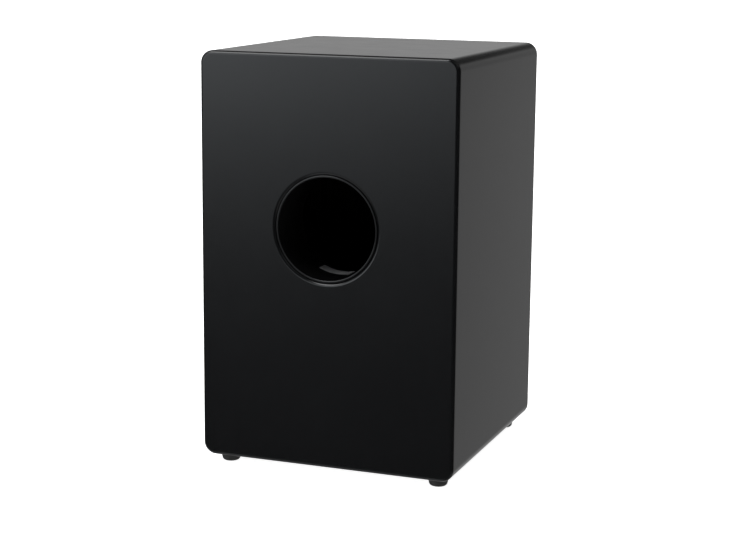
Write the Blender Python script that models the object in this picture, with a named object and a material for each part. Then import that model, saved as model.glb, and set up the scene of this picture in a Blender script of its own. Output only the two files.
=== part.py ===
"""Snare cajon: a box drum with a screwed-on playing plate and a ported rear panel.

Metres, +Z up. The origin is on the floor under the middle of the box. The playing
plate faces -Y and the sound port faces +Y. Right means +X.
"""

import math

import bmesh
import bpy
from mathutils import Matrix

# Overall size of the box, without its feet
BODY_WIDTH = 0.300
BODY_DEPTH = 0.300
BODY_HEIGHT = 0.460

# Boards
WALL = 0.012  # top, bottom and side boards
REAR_THICKNESS = 0.009
PLATE_THICKNESS = 0.003  # playing plate
CORNER_RADIUS = 0.014  # long edges of the box
REAR_EDGE_RADIUS = 0.004  # edge round the rear panel
PLATE_EDGE_RADIUS = 0.001
REBATE = 0.006  # how far the top and bottom boards let into the sides
BATTEN = 0.018  # square section of the glue blocks and rails
GLUE_GAP = 0.0003  # between pieces that touch
CUTTER_PAST = 0.002  # how far a cutter runs past the face that it opens

# Sound port
PORT_BORE_RADIUS = 0.057
PORT_WALL = 0.0025
PORT_DEPTH = 0.072  # from the rear face to the tube's inner end
PORT_BELOW_TOP = 0.190  # centre of the port, below the top of the box
PORT_RIM_RECESS = 0.0016
PORT_FLANGE_WIDTH = 0.0145
PORT_FLANGE_THICKNESS = 0.003
PORT_HOLE_ROUND = 0.0032  # rounding of the wooden hole's outer edge
PORT_SCREWS = 4

# Feet
FOOT_HEIGHT = 0.011
FOOT_TOP_RADIUS = 0.0122
FOOT_BASE_RADIUS = 0.0104
FOOT_EDGE_RADIUS = 0.0036
FOOT_INSET = 0.024  # from the box's faces to the foot's centre
FOOT_BORE_RADIUS = 0.0048
FOOT_BORE_DEPTH = 0.0060
FOOT_WASHER_ROOM = 0.0011

# Fasteners: shank radius, head radius, head height, then what the tip stops short of
FOOT_SCREW = (0.0020, 0.0040, 0.0024)
FOOT_SCREW_COVER = 0.0016  # board left above the tip
PORT_SCREW = (0.0014, 0.0029, 0.0018)
PORT_SCREW_COVER = 0.0036  # rear panel left past the tip
PLATE_SCREW = (0.0017, 0.0035, 0.0020)
PLATE_SCREW_COVER = 0.0053  # rail left past the tip
HEAD_CROWN = 0.6  # flat top and straight side of a screw's head, as a share of it
HOLE_CLEARANCE = 0.0003
PLATE_SCREWS_PER_SIDE = 5  # with one at each corner
PLATE_CROSS_SCREWS = 2  # between the corners, along the top and the bottom
PLATE_HEAD_SINK = 0.0002

# Snare wires, one set each side of the middle
SNARE_OFFSET = 0.062
STRANDS = 10
STRAND_SPACING = 0.0036
STRAND_RADIUS = 0.0011
STRAND_STANDOFF = 0.0004  # from the plate's back to the wires
STRIP_THICKNESS = 0.0012
STRIP_HEIGHT = 0.010
STRIP_MARGIN = 0.0025  # strip past the outer strands
STRIP_BITE = 0.0005  # how far the strands sink into their end strips
STRAND_LAP = 0.003  # strand past the middle of each end strip
CLIP_THICKNESS = 0.0012
CLIP_DROP = 0.016  # hanging leg of the upper clip
CLIP_LEG = 0.014  # leg of the upper clip under the rail

# Snare tensioner
CARRIAGE_DEPTH = 0.011
CARRIAGE_HEIGHT = 0.016
CARRIAGE_CLEARANCE = 0.0004
TRAVEL = 0.004  # how far the screw draws the carriage down
TRAVEL_SPARE = 0.004  # left under the carriage at full tension
CARRIAGE_LIFT = TRAVEL + TRAVEL_SPARE  # carriage above the guide's base, at rest
GUIDE_WALL = 0.0015
GUIDE_HEIGHT = 0.030
TENSION_SCREW = (0.0025, 0.00425, 0.005)  # M5: shank radius, head radius, head height
TENSION_TIP_DROP = 0.0006  # tip below the top of the carriage, at rest
HEX_ACROSS_FLATS = 0.004
HEX_DEPTH = 0.0028
BUSH_WALL = 0.0016
BUSH_FLOOR = 0.002
BUSH_FLANGE_RADIUS = 0.0090
BUSH_FLANGE_THICKNESS = 0.0012
HEAD_RECESS = 0.0020  # head above the bush's mouth

# Facets
ROUND_STEPS = 16  # screws and other small turned pieces
FOOT_STEPS = 24
BUSH_STEPS = 20
PORT_STEPS = 64
CORNER_STEPS = 8
EDGE_STEPS = 4
STRAND_STEPS = 8

# Places that follow from the sizes
HALF_WIDTH = BODY_WIDTH / 2
FRONT = -BODY_DEPTH / 2
REAR = BODY_DEPTH / 2
BOTTOM = FOOT_HEIGHT
TOP = FOOT_HEIGHT + BODY_HEIGHT
INSIDE_X = HALF_WIDTH - WALL
INSIDE_BOTTOM = BOTTOM + WALL
INSIDE_TOP = TOP - WALL
PLATE_BACK = FRONT + PLATE_THICKNESS
REAR_PANEL_FRONT = REAR - REAR_THICKNESS
SHELL_FRONT = PLATE_BACK + GLUE_GAP
SHELL_REAR = REAR_PANEL_FRONT - GLUE_GAP
PORT_Z = TOP - PORT_BELOW_TOP
PORT_OUTER_RADIUS = PORT_BORE_RADIUS + PORT_WALL
PORT_FLANGE_RADIUS = PORT_OUTER_RADIUS + PORT_FLANGE_WIDTH
FRONT_RAIL_BACK = SHELL_FRONT + BATTEN
REAR_RAIL_FRONT = SHELL_REAR - BATTEN
RAIL_TOP = INSIDE_BOTTOM + GLUE_GAP + BATTEN  # lower rails
RAIL_UNDERSIDE = INSIDE_TOP - GLUE_GAP - BATTEN  # upper rails
RAIL_INNER_X = INSIDE_X - GLUE_GAP - BATTEN

STRAND_Y = PLATE_BACK + STRAND_STANDOFF + STRAND_RADIUS
STRIP_FRONT = STRAND_Y + STRAND_RADIUS - STRIP_BITE
CLIP_FRONT = STRIP_FRONT + STRIP_THICKNESS + GLUE_GAP
CARRIAGE_FRONT = CLIP_FRONT + CLIP_THICKNESS + GLUE_GAP
CARRIAGE_BACK = CARRIAGE_FRONT + CARRIAGE_DEPTH
SCREW_Y = CARRIAGE_FRONT + CARRIAGE_DEPTH / 2
STRIP_HALF = (STRANDS - 1) * STRAND_SPACING / 2 + STRAND_RADIUS + STRIP_MARGIN
GUIDE_BASE_TOP = RAIL_TOP + GLUE_GAP + GUIDE_WALL
CARRIAGE_BOTTOM = GUIDE_BASE_TOP + CARRIAGE_LIFT
LOWER_STRIP_Z = CARRIAGE_BOTTOM + CARRIAGE_HEIGHT / 2
UPPER_STRIP_Z = RAIL_UNDERSIDE - GLUE_GAP - CLIP_DROP + STRIP_HEIGHT / 2

# Colours: base colour, roughness, metallic
FINISHES = {
    "black_lacquer": ((0.012, 0.012, 0.013), 0.42, 0.0),
    "plate_lacquer": ((0.014, 0.014, 0.015), 0.38, 0.0),
    "black_batten": ((0.020, 0.019, 0.018), 0.80, 0.0),
    "port_plastic": ((0.010, 0.010, 0.011), 0.22, 0.0),
    "foot_rubber": ((0.018, 0.018, 0.018), 0.65, 0.0),
    "black_screw": ((0.030, 0.030, 0.032), 0.35, 0.9),
    "zinc_steel": ((0.55, 0.55, 0.56), 0.35, 1.0),
    "snare_steel": ((0.72, 0.72, 0.74), 0.25, 1.0),
    "carriage_nylon": ((0.050, 0.050, 0.050), 0.50, 0.0),
}


def clear_scene():
    for old in list(bpy.data.objects):
        bpy.data.objects.remove(old, do_unlink=True)


def finish(name):
    """The material of this finish, made once."""
    found = bpy.data.materials.get(name)
    if found:
        return found
    made = bpy.data.materials.new(name)
    made.use_nodes = True
    shader = made.node_tree.nodes["Principled BSDF"]
    colour, roughness, metallic = FINISHES[name]
    shader.inputs["Base Color"].default_value = (*colour, 1.0)
    shader.inputs["Roughness"].default_value = roughness
    shader.inputs["Metallic"].default_value = metallic
    return made


def add(name, shape, material, location=(0, 0, 0), turn=None):
    """Turns a bmesh into an object and frees the bmesh."""
    bmesh.ops.recalc_face_normals(shape, faces=shape.faces)
    mesh = bpy.data.meshes.new(name)
    shape.to_mesh(mesh)
    shape.free()
    made = bpy.data.objects.new(name, mesh)
    if material:
        mesh.materials.append(finish(material))
    made.location = location
    if turn:
        made.rotation_euler = turn
    bpy.context.scene.collection.objects.link(made)
    return made


def block(name, low, high, material):
    """A rectangular piece between two corners, with its origin at its middle."""
    shape = bmesh.new()
    size = [b - a for a, b in zip(low, high)]
    middle = [(a + b) / 2 for a, b in zip(low, high)]
    bmesh.ops.create_cube(shape, size=1.0, matrix=Matrix.Diagonal((*size, 1.0)))
    return add(name, shape, material, middle)


def board(name, outline, front, rear, material):
    """An outline of (x, z) points, given a depth along Y."""
    shape = bmesh.new()
    face = shape.faces.new([shape.verts.new((x, front, z)) for x, z in outline])
    grown = bmesh.ops.extrude_face_region(shape, geom=[face])
    moved = [v for v in grown["geom"] if isinstance(v, bmesh.types.BMVert)]
    bmesh.ops.translate(shape, verts=moved, vec=(0, rear - front, 0))
    return add(name, shape, material)


def turned(name, profile, material, location=(0, 0, 0), turn=None, steps=ROUND_STEPS):
    """A closed outline of (radius, height) points, turned round the local Z axis."""
    shape = bmesh.new()
    points = [shape.verts.new((r, 0, h)) for r, h in profile]
    edges = [shape.edges.new((a, b)) for a, b in zip(points, points[1:])]
    if profile[0][0] > 0:
        edges.append(shape.edges.new((points[-1], points[0])))
    bmesh.ops.spin(
        shape,
        geom=points + edges,
        cent=(0, 0, 0),
        axis=(0, 0, 1),
        angle=2 * math.pi,
        steps=steps,
        use_merge=True,
    )
    bmesh.ops.remove_doubles(shape, verts=shape.verts, dist=1e-6)
    made = add(name, shape, material, location, turn)
    made.data.shade_smooth()
    made.data.set_sharp_from_angle(angle=math.radians(35))
    return made


def cut(target, cutter):
    """Takes the cutter's shape out of the target."""
    cutter.hide_render = True
    cutter.display_type = "WIRE"
    made = target.modifiers.new(f"cut_{cutter.name}", "BOOLEAN")
    made.operation = "DIFFERENCE"
    made.object = cutter


def join(target, other):
    """Adds the other piece's shape to the target, and hides the other."""
    other.hide_render = True
    other.display_type = "WIRE"
    made = target.modifiers.new(f"join_{other.name}", "BOOLEAN")
    made.operation = "UNION"
    made.object = other


def drill(target, name, centre, radius, length, axis="Z", steps=ROUND_STEPS):
    """A straight round hole whose middle is at centre."""
    half = length / 2
    turn = {"Z": None, "Y": (math.pi / 2, 0, 0)}[axis]
    rod = [(0, -half), (radius, -half), (radius, half), (0, half)]
    cut(target, turned(name, rod, None, centre, turn, steps))


def arc(centre_x, centre_z, radius, start, end, steps):
    """Points on a circle from the start angle to the end angle, in degrees."""
    angles = (math.radians(start + (end - start) * i / steps) for i in range(steps + 1))
    return [(centre_x + radius * math.cos(a), centre_z + radius * math.sin(a)) for a in angles]


def rounded_outline(inset=0.0):
    """The box's outline seen from the front, drawn in by the inset."""
    x = HALF_WIDTH - CORNER_RADIUS
    high = TOP - CORNER_RADIUS
    low = BOTTOM + CORNER_RADIUS
    radius = CORNER_RADIUS - inset
    corners = ((x, high, 0), (-x, high, 90), (-x, low, 180), (x, low, 270))
    points = []
    for centre_x, centre_z, start in corners:
        points += arc(centre_x, centre_z, radius, start, start + 90, CORNER_STEPS)
    return points


def rebate_angle():
    """Angle on the corner's arc, in degrees, where the rebate's shoulder meets it."""
    return math.degrees(math.acos((CORNER_RADIUS - REBATE) / CORNER_RADIUS))


def side_panel(name, side):
    """A side board, with a rebate at each end for the top and bottom boards."""
    x = HALF_WIDTH - CORNER_RADIUS
    meet = rebate_angle()
    shoulder = HALF_WIDTH - REBATE
    upper = arc(x, TOP - CORNER_RADIUS, CORNER_RADIUS, 0, meet, CORNER_STEPS)
    lower = arc(x, BOTTOM + CORNER_RADIUS, CORNER_RADIUS, -meet, 0, CORNER_STEPS)
    outline = [
        *upper,
        (shoulder, INSIDE_TOP),
        (INSIDE_X, INSIDE_TOP),
        (INSIDE_X, INSIDE_BOTTOM),
        (shoulder, INSIDE_BOTTOM),
        *lower,
    ]
    outline = [(side * px, pz) for px, pz in outline]
    return board(name, outline, SHELL_FRONT, SHELL_REAR, "black_lacquer")


def cross_panel(name, upright):
    """The top board (upright 1) or the bottom board (upright -1)."""
    shoulder = HALF_WIDTH - REBATE - GLUE_GAP
    start = math.degrees(math.acos((shoulder - HALF_WIDTH + CORNER_RADIUS) / CORNER_RADIUS))
    x = HALF_WIDTH - CORNER_RADIUS
    middle = (TOP + BOTTOM) / 2
    centre = BODY_HEIGHT / 2 - CORNER_RADIUS
    inner = BODY_HEIGHT / 2 - WALL + GLUE_GAP
    half = [(shoulder, inner), *arc(x, centre, CORNER_RADIUS, start, 90, CORNER_STEPS)]
    outline = half + [(-px, pz) for px, pz in reversed(half)]
    outline = [(px, middle + upright * pz) for px, pz in outline]
    return board(name, outline, SHELL_FRONT, SHELL_REAR, "black_lacquer")


def rounded_board(name, front, rear, edge, edge_faces_rear, material):
    """A full-size board whose outer edge is rounded on one face."""
    shape = bmesh.new()
    outer, inner = (rear, front) if edge_faces_rear else (front, rear)
    inwards = -1 if edge_faces_rear else 1
    rings = [(0.0, inner)]
    for i in range(EDGE_STEPS + 1):
        angle = math.pi / 2 * i / EDGE_STEPS
        rings.append((edge * (1 - math.cos(angle)), outer + inwards * edge * (1 - math.sin(angle))))
    loops = []
    for inset, y in rings:
        verts = [shape.verts.new((x, y, z)) for x, z in rounded_outline(inset)]
        loops.append([shape.edges.new((a, b)) for a, b in zip(verts, verts[1:] + verts[:1])])
    for a, b in zip(loops, loops[1:]):
        bmesh.ops.bridge_loops(shape, edges=a + b)
    bmesh.ops.contextual_create(shape, geom=loops[0])
    bmesh.ops.contextual_create(shape, geom=loops[-1])
    return add(name, shape, material)


def make_shell():
    """The four boards of the box, and the rails and corner blocks glued inside them."""
    pieces = {
        "left_side_panel": side_panel("left_side_panel", -1),
        "right_side_panel": side_panel("right_side_panel", 1),
        "top_panel": cross_panel("top_panel", 1),
        "bottom_panel": cross_panel("bottom_panel", -1),
    }
    reach = INSIDE_X - GLUE_GAP
    sides = {"left": (-reach, -RAIL_INNER_X), "right": (RAIL_INNER_X, reach)}
    ends = {"front": (SHELL_FRONT, FRONT_RAIL_BACK), "rear": (REAR_RAIL_FRONT, SHELL_REAR)}
    levels = {
        "lower": (INSIDE_BOTTOM + GLUE_GAP, RAIL_TOP),
        "upper": (RAIL_UNDERSIDE, INSIDE_TOP - GLUE_GAP),
    }
    for end, (y0, y1) in ends.items():
        for level, (z0, z1) in levels.items():
            name = f"{level}_{end}_rail"
            pieces[name] = block(name, (-reach, y0, z0), (reach, y1, z1), "black_batten")
        for side, (x0, x1) in sides.items():
            name = f"{side}_{end}_rail"
            low = (x0, y0, RAIL_TOP + GLUE_GAP)
            high = (x1, y1, RAIL_UNDERSIDE - GLUE_GAP)
            pieces[name] = block(name, low, high, "black_batten")
    for level, (z0, z1) in levels.items():
        for side, (x0, x1) in sides.items():
            low = (x0, FRONT_RAIL_BACK + GLUE_GAP, z0)
            high = (x1, REAR_RAIL_FRONT - GLUE_GAP, z1)
            block(f"{level}_{side}_corner_block", low, high, "black_batten")
    return pieces


def port_screw_places():
    """Centres of the port's screws, as (x, z), on the flange's middle circle."""
    radius = (PORT_OUTER_RADIUS + PORT_FLANGE_RADIUS) / 2
    angles = (math.pi / 4 + 2 * math.pi * i / PORT_SCREWS for i in range(PORT_SCREWS))
    return [(radius * math.cos(a), PORT_Z + radius * math.sin(a)) for a in angles]


def make_rear():
    """The rear panel with its rounded port hole, and the port tube screwed to its inside."""
    panel = rounded_board(
        "rear_panel", REAR_PANEL_FRONT, REAR, REAR_EDGE_RADIUS, True, "black_lacquer"
    )
    hole = PORT_OUTER_RADIUS + GLUE_GAP
    mouth = [
        (hole + PORT_HOLE_ROUND - r, h - PORT_HOLE_ROUND)
        for r, h in arc(0, 0, PORT_HOLE_ROUND, 0, 90, EDGE_STEPS)
    ]
    inside = -REAR_THICKNESS - CUTTER_PAST
    cutter = [(0, inside), (hole, inside), *mouth]
    cutter += [(hole + PORT_HOLE_ROUND, CUTTER_PAST), (0, CUTTER_PAST)]
    facing_rear = (-math.pi / 2, 0, 0)  # the profile's +height points along +Y
    centre = (0, REAR, PORT_Z)
    cut(panel, turned("port_hole", cutter, None, centre, facing_rear, PORT_STEPS))

    rim = -PORT_RIM_RECESS
    lip = PORT_WALL / 2
    flange_rear = -REAR_THICKNESS - GLUE_GAP
    flange_front = flange_rear - PORT_FLANGE_THICKNESS
    middle = PORT_BORE_RADIUS + lip
    profile = [
        (PORT_BORE_RADIUS, -PORT_DEPTH),
        *[(middle - r, rim - lip + h) for r, h in arc(0, 0, lip, 0, 180, 2 * EDGE_STEPS)],
        (PORT_OUTER_RADIUS, flange_rear),
        (PORT_FLANGE_RADIUS, flange_rear),
        (PORT_FLANGE_RADIUS, flange_front),
        (PORT_OUTER_RADIUS, flange_front),
        (PORT_OUTER_RADIUS, -PORT_DEPTH),
    ]
    tube = turned("port_tube", profile, "port_plastic", centre, facing_rear, PORT_STEPS)

    shank, head, height = PORT_SCREW
    seat = REAR + flange_front - GLUE_GAP
    length = REAR - PORT_SCREW_COVER - seat
    for number, (x, z) in enumerate(port_screw_places(), 1):
        screw_profile = [
            (0, length),
            (shank, length - shank),
            (shank, 0),
            (head, 0),
            (head, -HEAD_CROWN * height),
            (HEAD_CROWN * head, -height),
            (0, -height),
        ]
        place = (x, seat, z)
        turned(f"port_screw_{number}", screw_profile, "black_screw", place, facing_rear)
        hole_length = 2 * (length + HOLE_CLEARANCE)
        for piece in (panel, tube):
            drill(
                piece,
                f"port_screw_hole_{piece.name}_{number}",
                place,
                shank + HOLE_CLEARANCE,
                hole_length,
                "Y",
            )


def plate_screw_places():
    """Centres of the playing plate's screws, as (x, z), on the rails' middle lines."""
    rail_middle = GLUE_GAP + BATTEN / 2
    x = INSIDE_X - rail_middle
    low = INSIDE_BOTTOM + rail_middle
    high = INSIDE_TOP - rail_middle
    places = []
    for side in (-1, 1):
        for i in range(PLATE_SCREWS_PER_SIDE):
            places.append((side * x, low + (high - low) * i / (PLATE_SCREWS_PER_SIDE - 1)))
    for z in (low, high):
        for i in range(1, PLATE_CROSS_SCREWS + 1):
            places.append((x * (2 * i / (PLATE_CROSS_SCREWS + 1) - 1), z))
    return places


def rail_behind(rails, x, z):
    """The front rail that a plate screw at (x, z) bites into."""
    if z < RAIL_TOP:
        return rails["lower_front_rail"]
    if z > RAIL_UNDERSIDE:
        return rails["upper_front_rail"]
    return rails["left_front_rail" if x < 0 else "right_front_rail"]


def make_front(rails):
    """The playing plate and the countersunk screws that hold it to the front rails."""
    plate = rounded_board(
        "front_plate", FRONT, PLATE_BACK, PLATE_EDGE_RADIUS, False, "plate_lacquer"
    )
    shank, head, height = PLATE_SCREW
    length = FRONT_RAIL_BACK - PLATE_SCREW_COVER - FRONT
    facing_rear = (-math.pi / 2, 0, 0)
    for number, (x, z) in enumerate(plate_screw_places(), 1):
        profile = [
            (0, PLATE_HEAD_SINK),
            (head, PLATE_HEAD_SINK),
            (shank, PLATE_HEAD_SINK + height),
            (shank, length - shank),
            (0, length),
        ]
        place = (x, FRONT, z)
        turned(f"plate_screw_{number:02d}", profile, "black_screw", place, facing_rear)
        wide = head + HOLE_CLEARANCE
        narrow = shank + HOLE_CLEARANCE
        sink = [
            (0, -CUTTER_PAST),
            (wide, -CUTTER_PAST),
            (wide, PLATE_HEAD_SINK),
            (narrow, PLATE_HEAD_SINK + height),
            (narrow, length + HOLE_CLEARANCE),
            (0, length + HOLE_CLEARANCE),
        ]
        cutter = turned(f"plate_screw_hole_{number:02d}", sink, None, place, facing_rear)
        cut(plate, cutter)
        cut(rail_behind(rails, x, z), cutter)


def make_feet(bottom_panel):
    """Four rubber feet, each held by one screw that ends inside the bottom board."""
    shank, head, height = FOOT_SCREW
    seat = FOOT_BORE_DEPTH - FOOT_WASHER_ROOM
    length = INSIDE_BOTTOM - FOOT_SCREW_COVER - seat
    top = FOOT_HEIGHT - GLUE_GAP
    base = [
        (FOOT_BASE_RADIUS - FOOT_EDGE_RADIUS + r, FOOT_EDGE_RADIUS + h)
        for r, h in arc(0, 0, FOOT_EDGE_RADIUS, -90, 0, EDGE_STEPS)
    ]
    hole = shank + HOLE_CLEARANCE
    profile = [
        (FOOT_BORE_RADIUS, 0),
        *base,
        (FOOT_TOP_RADIUS, top),
        (hole, top),
        (hole, FOOT_BORE_DEPTH),
        (FOOT_BORE_RADIUS, FOOT_BORE_DEPTH),
    ]
    screw_profile = [
        (0, -height),
        (HEAD_CROWN * head, -height),
        (head, -HEAD_CROWN * height),
        (head, 0),
        (shank, 0),
        (shank, length - shank),
        (0, length),
    ]
    for end, sign_y in (("front", -1), ("rear", 1)):
        for side, sign_x in (("left", -1), ("right", 1)):
            x = sign_x * (HALF_WIDTH - FOOT_INSET)
            y = sign_y * (BODY_DEPTH / 2 - FOOT_INSET)
            name = f"{end}_{side}_foot"
            turned(name, profile, "foot_rubber", (x, y, 0), None, FOOT_STEPS)
            turned(f"{name}_screw", screw_profile, "zinc_steel", (x, y, seat))
            reach = 2 * (length + HOLE_CLEARANCE)
            drill(bottom_panel, f"{name}_screw_hole", (x, y, seat), hole, reach)


def make_snare_wires(name, x):
    """Parallel strands between two end strips, each strand as its outer shape."""
    half = STRIP_HEIGHT / 2
    strips = []
    for end, z in (("lower", LOWER_STRIP_Z), ("upper", UPPER_STRIP_Z)):
        low = (x - STRIP_HALF, STRIP_FRONT, z - half)
        high = (x + STRIP_HALF, STRIP_FRONT + STRIP_THICKNESS, z + half)
        label = name if end == "lower" else f"{name}_{end}_strip"
        strips.append(block(label, low, high, "snare_steel"))
    wires = strips[0]
    join(wires, strips[1])
    low = LOWER_STRIP_Z - STRAND_LAP
    length = UPPER_STRIP_Z + STRAND_LAP - low
    rod = [(0, 0), (STRAND_RADIUS, 0), (STRAND_RADIUS, length), (0, length)]
    for i in range(STRANDS):
        strand_x = x + (i - (STRANDS - 1) / 2) * STRAND_SPACING
        place = (strand_x, STRAND_Y, low)
        join(wires, turned(f"{name}_strand_{i}", rod, None, place, None, STRAND_STEPS))


def make_upper_clip(name, x):
    """An angle screwed under the upper front rail, which hangs the wires."""
    top = RAIL_UNDERSIDE - GLUE_GAP
    low = (x - STRIP_HALF, CLIP_FRONT, top - CLIP_DROP)
    high = (x + STRIP_HALF, CLIP_FRONT + CLIP_THICKNESS, top)
    clip = block(name, low, high, "zinc_steel")
    low = (x - STRIP_HALF, CLIP_FRONT, top - CLIP_THICKNESS)
    high = (x + STRIP_HALF, CLIP_FRONT + CLIP_LEG, top)
    join(clip, block(f"{name}_leg", low, high, None))


def make_tensioner(side, sign, bottom_panel, lower_rail):
    """One side's carriage, the guide that it slides in, and the screw that draws it down."""
    x = sign * SNARE_OFFSET
    shank, head, height = TENSION_SCREW
    hole = shank + HOLE_CLEARANCE
    carriage_top = CARRIAGE_BOTTOM + CARRIAGE_HEIGHT

    low = (x - STRIP_HALF, CLIP_FRONT, CARRIAGE_BOTTOM)
    high = (x + STRIP_HALF, CLIP_FRONT + CLIP_THICKNESS, carriage_top)
    block(f"{side}_lower_clip", low, high, "zinc_steel")

    low = (x - STRIP_HALF, CARRIAGE_FRONT, CARRIAGE_BOTTOM)
    high = (x + STRIP_HALF, CARRIAGE_BACK, carriage_top)
    carriage = block(f"{side}_carriage", low, high, "carriage_nylon")
    middle = (x, SCREW_Y, (CARRIAGE_BOTTOM + carriage_top) / 2)
    drill(carriage, f"{side}_carriage_thread", middle, hole, 2 * CARRIAGE_HEIGHT)

    inner = STRIP_HALF + CARRIAGE_CLEARANCE
    guide_bottom = RAIL_TOP + GLUE_GAP
    guide_top = guide_bottom + GUIDE_HEIGHT
    back = CARRIAGE_BACK + CARRIAGE_CLEARANCE
    low = (x - inner - GUIDE_WALL, CARRIAGE_FRONT, guide_bottom)
    high = (x + inner + GUIDE_WALL, back + GUIDE_WALL, guide_top)
    guide = block(f"{side}_guide", low, high, "zinc_steel")
    low = (x - inner, CARRIAGE_FRONT - CUTTER_PAST, GUIDE_BASE_TOP)
    high = (x + inner, back, guide_top + CUTTER_PAST)
    cut(guide, block(f"{side}_guide_room", low, high, None))

    cup = head + HOLE_CLEARANCE
    sleeve = cup + BUSH_WALL
    mouth = BOTTOM - GLUE_GAP - BUSH_FLANGE_THICKNESS
    head_bottom = mouth + HEAD_RECESS
    head_top = head_bottom + height
    cup_top = head_top + GLUE_GAP
    bush_profile = [
        (cup, 0),
        (BUSH_FLANGE_RADIUS, 0),
        (BUSH_FLANGE_RADIUS, BUSH_FLANGE_THICKNESS),
        (sleeve, BUSH_FLANGE_THICKNESS),
        (sleeve, cup_top + BUSH_FLOOR - mouth),
        (hole, cup_top + BUSH_FLOOR - mouth),
        (hole, cup_top - mouth),
        (cup, cup_top - mouth),
    ]
    turned(f"{side}_bush", bush_profile, "zinc_steel", (x, SCREW_Y, mouth), None, BUSH_STEPS)
    wall_middle = (x, SCREW_Y, BOTTOM + WALL / 2)
    bush_hole = sleeve + HOLE_CLEARANCE
    drill(bottom_panel, f"{side}_bush_hole", wall_middle, bush_hole, 2 * WALL, "Z", BUSH_STEPS)

    tip = carriage_top - TENSION_TIP_DROP - head_bottom
    screw_profile = [
        (0, 0),
        (head, 0),
        (head, height),
        (shank, height),
        (shank, tip - shank / 2),
        (shank / 2, tip),
        (0, tip),
    ]
    place = (x, SCREW_Y, head_bottom)
    screw = turned(f"{side}_tension_screw", screw_profile, "black_screw", place, None, BUSH_STEPS)
    hex_radius = HEX_ACROSS_FLATS / 2 / math.cos(math.pi / 6)
    socket = [(0, -CUTTER_PAST), (hex_radius, -CUTTER_PAST), (hex_radius, HEX_DEPTH), (0, HEX_DEPTH)]
    cut(screw, turned(f"{side}_socket", socket, None, place, None, 6))
    for piece, z in ((lower_rail, RAIL_TOP - BATTEN / 2), (guide, guide_bottom)):
        drill(piece, f"{side}_screw_way_{piece.name}", (x, SCREW_Y, z), hole, 2 * BATTEN)


def main():
    clear_scene()
    shell = make_shell()
    make_rear()
    make_front(shell)
    make_feet(shell["bottom_panel"])
    for side, sign in (("left", -1), ("right", 1)):
        make_snare_wires(f"{side}_snare_wires", sign * SNARE_OFFSET)
        make_upper_clip(f"{side}_upper_clip", sign * SNARE_OFFSET)
        make_tensioner(side, sign, shell["bottom_panel"], shell["lower_front_rail"])


main()
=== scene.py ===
"""A snare cajon in satin black lacquer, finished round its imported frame.

Metres, +Z up. The playing plate faces -Y and the sound port faces +Y.
"""

import math

import bmesh
import bpy
from mathutils import Matrix, Quaternion, Vector


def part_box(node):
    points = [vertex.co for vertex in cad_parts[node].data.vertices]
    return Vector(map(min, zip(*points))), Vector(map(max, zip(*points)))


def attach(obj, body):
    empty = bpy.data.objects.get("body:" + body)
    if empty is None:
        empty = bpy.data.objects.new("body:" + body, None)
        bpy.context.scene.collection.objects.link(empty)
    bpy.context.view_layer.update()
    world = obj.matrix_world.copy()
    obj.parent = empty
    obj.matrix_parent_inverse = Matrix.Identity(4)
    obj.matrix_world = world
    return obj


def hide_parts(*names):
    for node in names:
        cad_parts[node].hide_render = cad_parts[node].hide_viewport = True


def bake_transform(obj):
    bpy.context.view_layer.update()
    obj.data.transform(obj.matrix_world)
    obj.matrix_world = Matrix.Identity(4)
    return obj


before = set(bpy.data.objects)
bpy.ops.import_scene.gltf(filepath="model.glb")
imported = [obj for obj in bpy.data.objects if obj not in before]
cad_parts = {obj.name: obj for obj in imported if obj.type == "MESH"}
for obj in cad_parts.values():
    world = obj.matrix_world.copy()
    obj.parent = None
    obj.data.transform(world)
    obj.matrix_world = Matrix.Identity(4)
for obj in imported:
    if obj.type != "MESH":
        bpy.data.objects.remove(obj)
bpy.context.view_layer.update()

# Box
LONG_EDGE_RADIUS = 0.014
REAR_EDGE_RADIUS = 0.004
PLATE_EDGE_RADIUS = 0.001
WALL = 0.012
BATTEN_EDGE = 0.0012
CORNER_STEPS = 20
EDGE_STEPS = 8
CLEARANCE = 0.0003  # round a screw, and between pieces that meet

# Sound port
PORT_BORE = 0.057
PORT_WALL = 0.0025
PORT_HOLE_ROUND = 0.0036
PORT_GAP = 0.0003  # between the tube and the panel's hole
PORT_LIP_RECESS = 0.0014  # lip below the panel's face
PORT_LIP_ROUND = 0.0007
PORT_STEPS = 160
PORT_FLANGE_THICKNESS = 0.003
PORT_FILLET = 0.0012
# A pale film in the port tube, as a painted highlight
PAINTED_HIGHLIGHT_DEPTHS = (0.0425, 0.0595)  # from the rear face
PAINTED_HIGHLIGHT_ANGLES = (-116, -78)  # round the port, as seen from behind the box
PAINTED_HIGHLIGHT_THICKNESS = 0.00015

# Feet and screws
FOOT_STEPS = 72
SCREW_STEPS = 40
FOOT_FLANK_LEAN = 0.0018  # top radius less base radius
FOOT_ROUND = 0.0036
FOOT_BORE = 0.0048  # radius
COUNTERSUNK = (0.0017, 0.0035, 0.0020)  # shank radius, head radius, head height
HEAD_SINK = 0.0002
CROSS_ARM = 0.62  # half length of a cross recess, as a share of the head's radius
CROSS_WIDTH = 0.22  # width of its slots, as a share of the head's radius
CROSS_TAPER = 0.6  # size at the bottom of the recess, as a share of its top
PLATE_SCREW_RECESS = 0.0013
PLATE_SCREW_TURN = 2.39996  # from one cross to the next, in radians
PORT_SCREW = (0.0014, 0.0018, 0.0012)  # shank radius, head height, recess depth
PORT_SCREW_TURN = 1.1
FOOT_SCREW = (0.0020, 0.0024, 0.0015)
HANGER_SCREW = (0.0014, 0.0028, 0.0016, 0.0011)  # shank, head, head height, recess
GUIDE_SCREW = (0.0013, 0.0026, 0.0014, 0.0010)
SHORT_SCREW_LENGTH = 0.010  # of the hanger's and the guide's screws
WASHER = (0.0022, 0.0046, 0.0008)  # bore, radius, thickness
FOOT_LIP = 0.0006
FOOT_CHAMFER = 0.0010

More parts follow.
